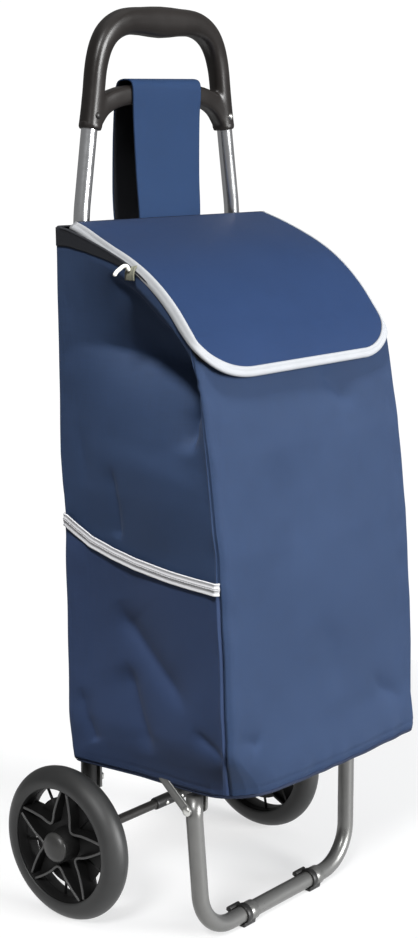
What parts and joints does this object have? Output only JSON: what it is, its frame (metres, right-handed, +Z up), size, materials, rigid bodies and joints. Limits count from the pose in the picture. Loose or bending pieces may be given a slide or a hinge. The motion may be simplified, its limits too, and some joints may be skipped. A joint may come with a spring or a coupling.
{
  "type": "folding shopping trolley",
  "caption": "Wheeled shopping trolley with a tall fabric bag, chromed uprights, a moulded loop handle and a tubular front stand that folds under the bag.",
  "frame": {"origin": "on the floor, under the middle of the bounding box; the axle is 64 mm behind it", "axes": "+Z up, +Y towards the back, the side of the uprights and wheels, where the user walks; X is the width, with the pocket side at -X"},
  "size_m": [0.364, 0.288, 0.909],
  "materials": {
    "upright_chrome": "bright chrome plating",
    "handle_black": "satin moulded black",
    "frame_grey": "satin grey enamel",
    "zinc_fittings": "zinc plated",
    "axle_black": "black enamel",
    "fittings_black": "satin moulded black",
    "rim_plastic": "satin moulded charcoal",
    "tyre_rubber": "soft matt charcoal",
    "bag_fabric": "woven navy blue polyester",
    "board": "rough board",
    "hook_white": "smooth white",
    "tab_webbing": "olive grey webbing"
  },
  "bodies": {
    "frame": {"axle": "axle_black", "axle_bracket_left": "fittings_black", "axle_bracket_right": "fittings_black", "axle_sleeve": "fittings_black", "bag_back": "bag_fabric", "bag_bottom": "bag_fabric", "bag_front": "bag_fabric", "bag_side_left": "bag_fabric", "bag_side_right": "bag_fabric", "base_board": "board", "frame_bolt_left": "zinc_fittings", "frame_bolt_right": "zinc_fittings", "frame_bracket_left": "frame_grey", "frame_bracket_right": "frame_grey", "frame_nut_left": "zinc_fittings", "frame_nut_right": "zinc_fittings", "handle": "handle_black", "handle_rivet_left": "zinc_fittings", "handle_rivet_right": "zinc_fittings", "hanging_strap": "bag_fabric", "hinge_cheek_inner_left": "frame_grey", "hinge_cheek_inner_right": "frame_grey", "hinge_cheek_outer_left": "zinc_fittings", "hinge_cheek_outer_right": "zinc_fittings", "hinge_pin_left": "zinc_fittings", "hinge_pin_right": "zinc_fittings", "hook_tab": "tab_webbing", "platform_frame": "frame_grey", "platform_rear_bar": "frame_grey", "side_hook": "hook_white", "side_pocket": "bag_fabric", "sleeve_rivet_left": "zinc_fittings", "sleeve_rivet_right": "zinc_fittings", "upright_left": "upright_chrome", "upright_right": "upright_chrome", "wheel_spacer_left": "fittings_black", "wheel_spacer_right": "fittings_black"},
    "wheel_left": {"tyre_left": "tyre_rubber", "wheel_rim_left": "rim_plastic", "hub_cap_left": "rim_plastic"},
    "wheel_right": {"tyre_right": "tyre_rubber", "wheel_rim_right": "rim_plastic", "hub_cap_right": "rim_plastic"},
    "stand": {"stand_leg": "frame_grey", "foot_clip_left": "fittings_black", "foot_clip_right": "fittings_black"},
    "flap": {"flap": "bag_fabric"}
  },
  "joints": [
    {"name": "wheel_left_spin", "type": "hinge", "parent": "frame", "child": "wheel_left", "pos_m": [-0.1583, 0.064, 0.08], "axis": [1, 0, 0], "continuous": true},
    {"name": "wheel_right_spin", "type": "hinge", "parent": "frame", "child": "wheel_right", "pos_m": [0.1583, 0.064, 0.08], "axis": [1, 0, 0], "continuous": true},
    {"name": "stand_fold", "type": "hinge", "parent": "frame", "child": "stand", "pos_m": [0, -0.079, 0.1445], "axis": [1, 0, 0], "range_deg": [0, 88]},
    {"name": "flap_open", "type": "hinge", "parent": "frame", "child": "flap", "pos_m": [0, 0.056, 0.7035], "axis": [-1, 0, 0], "range_deg": [0, 100]}
  ]
}
